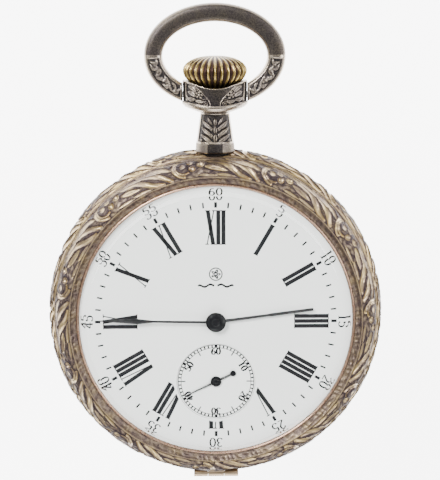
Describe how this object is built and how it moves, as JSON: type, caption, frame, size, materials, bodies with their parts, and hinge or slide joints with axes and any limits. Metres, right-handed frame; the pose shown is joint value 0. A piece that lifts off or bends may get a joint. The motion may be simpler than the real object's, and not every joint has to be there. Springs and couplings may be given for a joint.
{
  "type": "open face pocket watch",
  "caption": "Open face pocket watch with embossed hinged case, bevelled crystal, enamel dial with sunk seconds dial, winding crown, bow and a full lever movement.",
  "frame": {"origin": "centre of the flat of the back cover, on which the watch lies", "axes": "+Z out of the dial, +Y from the centre to the pendant at 12 o'clock, +X to 3 o'clock"},
  "size_m": [0.053, 0.0759, 0.014],
  "materials": {
    "case_metal": "embossed and antiqued",
    "silver": "worn silver with darkened recesses",
    "crown_gold": "worn gilding",
    "crystal_glass": "polished, bevelled edge",
    "enamel": "glossy white enamel with black numerals",
    "hand_steel": "blackened, polished",
    "gilt": "frosted gilding",
    "nickel": "nickel with straight stripes",
    "steel": "polished steel",
    "blued": "heat blued",
    "ruby": "polished ruby",
    "copper": "bare copper"
  },
  "bodies": {
    "case": {"bezel_hinge_pin": "steel", "case_middle": "case_metal", "back_hinge_pin": "steel", "cuvette_hinge_pin": "steel", "pendant_neck": "silver", "crown_cup": "silver", "bow_pivots": "silver", "pendant_sleeve": "steel", "crown_wheel_screw": "blued", "click_screw": "blued", "click_spring": "steel", "barrel_bridge": "nickel", "train_bridge": "nickel", "balance_cock": "nickel", "pallet_cock": "nickel", "main_plate": "gilt", "hairspring": "blued", "endstone": "ruby", "dial": "enamel", "seconds_dial": "enamel", "dial_feet": "copper", "bridge_jewels": "ruby", "plate_jewels": "ruby", "balance_jewel": "ruby", "bridge_screws": "blued", "case_screws": "blued"},
    "bezel": {"bezel": "case_metal", "crystal": "crystal_glass"},
    "back": {"back_cover": "case_metal"},
    "cuvette": {"cuvette": "silver"},
    "bow": {"bow": "silver"},
    "winding_pinions": {"winding_pinion": "steel", "sliding_pinion": "steel"},
    "crown": {"crown": "crown_gold", "winding_stem": "steel"},
    "crown_wheel": {"crown_wheel": "steel"},
    "ratchet": {"ratchet_wheel": "steel", "barrel_arbor": "steel", "ratchet_screw": "blued"},
    "click": {"click": "steel"},
    "setting_lever": {"setting_lever": "steel"},
    "seconds": {"fourth_wheel": "gilt", "seconds_hand": "hand_steel"},
    "minutes": {"centre_wheel": "gilt", "cannon_pinion": "steel", "minute_hand": "hand_steel"},
    "third": {"third_wheel": "gilt"},
    "hours": {"hour_wheel": "gilt", "hour_hand": "hand_steel"},
    "minute_wheel": {"minute_wheel": "gilt"},
    "barrel": {"barrel": "gilt", "barrel_cover": "gilt", "mainspring": "steel"},
    "escape": {"escape_wheel": "steel"},
    "pallet": {"pallet_fork": "steel", "pallet_stones": "ruby"},
    "balance": {"balance_wheel": "gilt", "roller": "steel"},
    "regulator": {"regulator": "steel"}
  },
  "joints": [
    {"name": "bezel_hinge", "type": "hinge", "parent": "case", "child": "bezel", "pos_m": [0, -0.0263, 0.00932], "axis": [1, 0, 0], "range_deg": [0, 100]},
    {"name": "back_hinge", "type": "hinge", "parent": "case", "child": "back", "pos_m": [0, -0.0263, 0.00438], "axis": [-1, 0, 0], "range_deg": [0, 100]},
    {"name": "cuvette_hinge", "type": "hinge", "parent": "case", "child": "cuvette", "pos_m": [0, -0.0225, 0.00375], "axis": [-1, 0, 0], "range_deg": [0, 85]},
    {"name": "bow_pivot", "type": "hinge", "parent": "case", "child": "bow", "pos_m": [0, 0.0351, 0.007], "axis": [1, 0, 0], "range_deg": [-110, 110]},
    {"name": "crown_turn", "type": "hinge", "parent": "case", "child": "winding_pinions", "pos_m": [0, 0.0155, 0.007], "axis": [0, 1, 0], "continuous": true},
    {"name": "crown_pull", "type": "slide", "parent": "winding_pinions", "child": "crown", "axis": [0, 1, 0], "range_m": [0, 0.0008]},
    {"name": "crown_wheel_turn", "type": "hinge", "parent": "case", "child": "crown_wheel", "pos_m": [0, 0.0113, 0.0036], "axis": [0, 0, 1], "continuous": true},
    {"name": "ratchet_turn", "type": "hinge", "parent": "case", "child": "ratchet", "pos_m": [-0.00799, 0.00559, 0.0036], "axis": [0, 0, 1], "continuous": true},
    {"name": "click_pivot", "type": "hinge", "parent": "case", "child": "click", "pos_m": [-0.0128, 0.01175, 0.0036], "axis": [0, 0, -1], "range_deg": [0, 8]},
    {"name": "setting_lever_pivot", "type": "hinge", "parent": "case", "child": "setting_lever", "pos_m": [0.003, 0.018, 0.0099], "axis": [0, 0, 1], "range_deg": [-16, 0]},
    {"name": "seconds_hand_turn", "type": "hinge", "parent": "case", "child": "seconds", "pos_m": [0, -0.00987, 0.0066], "axis": [0, 0, -1], "continuous": true},
    {"name": "minute_hand_turn", "type": "hinge", "parent": "case", "child": "minutes", "pos_m": [0, 0, 0.0072], "axis": [0, 0, -1], "continuous": true},
    {"name": "hour_hand_turn", "type": "hinge", "parent": "case", "child": "hours", "pos_m": [0, 0, 0.0105], "axis": [0, 0, -1], "continuous": true},
    {"name": "minute_wheel_turn", "type": "hinge", "parent": "case", "child": "minute_wheel", "pos_m": [0.00275, 0.00193, 0.0099], "axis": [0, 0, -1], "continuous": true},
    {"name": "third_wheel_turn", "type": "hinge", "parent": "case", "child": "third", "pos_m": [0.00494, -0.00584, 0.0057], "axis": [0, 0, -1], "continuous": true},
    {"name": "barrel_turn", "type": "hinge", "parent": "case", "child": "barrel", "pos_m": [-0.00799, 0.00559, 0.0056], "axis": [0, 0, -1], "continuous": true},
    {"name": "escape_wheel_turn", "type": "hinge", "parent": "case", "child": "escape", "pos_m": [-0.0032, -0.01407, 0.0071], "axis": [0, 0, -1], "continuous": true},
    {"name": "pallet_swing", "type": "hinge", "parent": "case", "child": "pallet", "pos_m": [-0.0061, -0.01266, 0.0071], "axis": [0, 0, -1], "range_deg": [-4, 4]},
    {"name": "balance_swing", "type": "hinge", "parent": "case", "child": "balance", "pos_m": [-0.0095, -0.011, 0.006], "axis": [0, 0, -1], "range_deg": [-270, 270], "stiffness_Nm_per_rad": 0.00000065},
    {"name": "regulator_swing", "type": "hinge", "parent": "case", "child": "regulator", "pos_m": [-0.0095, -0.011, 0.0037], "axis": [0, 0, 1], "range_deg": [-15, 15]}
  ],
  "couplings": [
    {"joint": "cuvette_hinge", "follows": "back_hinge", "ratio": 0.8},
    {"joint": "crown_wheel_turn", "follows": "crown_turn", "ratio": 0.53333},
    {"joint": "ratchet_turn", "follows": "crown_turn", "ratio": -0.4},
    {"joint": "setting_lever_pivot", "follows": "crown_pull", "rad_per_m": -338.16},
    {"joint": "minute_hand_turn", "follows": "seconds_hand_turn", "ratio": 0.016667},
    {"joint": "hour_hand_turn", "follows": "seconds_hand_turn", "ratio": 0.0013889},
    {"joint": "minute_wheel_turn", "follows": "seconds_hand_turn", "ratio": -0.0055556},
    {"joint": "third_wheel_turn", "follows": "seconds_hand_turn", "ratio": -0.13333},
    {"joint": "barrel_turn", "follows": "seconds_hand_turn", "ratio": -0.0022222},
    {"joint": "escape_wheel_turn", "follows": "seconds_hand_turn", "ratio": -10}
  ]
}
